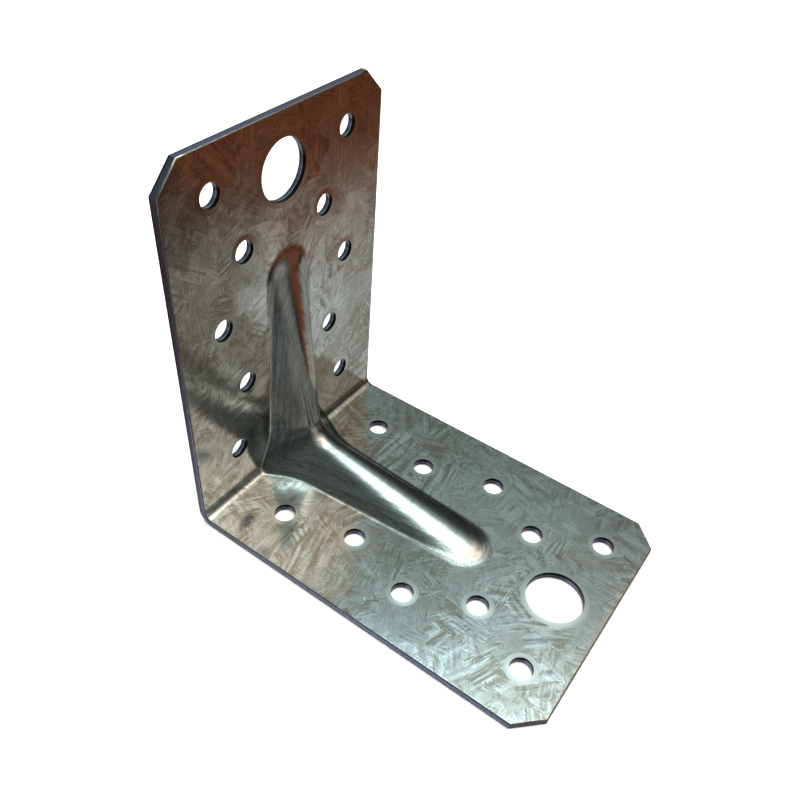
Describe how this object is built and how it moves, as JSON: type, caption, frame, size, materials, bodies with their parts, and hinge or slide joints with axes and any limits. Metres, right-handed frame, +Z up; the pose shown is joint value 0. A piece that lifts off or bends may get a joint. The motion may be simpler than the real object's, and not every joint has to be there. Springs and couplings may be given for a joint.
{
  "type": "reinforced angle bracket",
  "caption": "Equal-leg angle bracket folded from galvanised sheet, with a rib pressed across the bend, nail holes and a bolt hole in each leg.",
  "frame": {"origin": "the heel, where the outer faces of the two legs would meet, at mid width", "axes": "+X along the base leg, +Y along the bend, +Z up the wall leg"},
  "size_m": [0.09, 0.064, 0.09],
  "materials": {
    "galvanised_sheet": "hot-dip galvanised sheet with a feathery zinc spangle, semi-gloss"
  },
  "bodies": {
    "root": {"angle_bracket": "galvanised_sheet"}
  },
  "joints": []
}
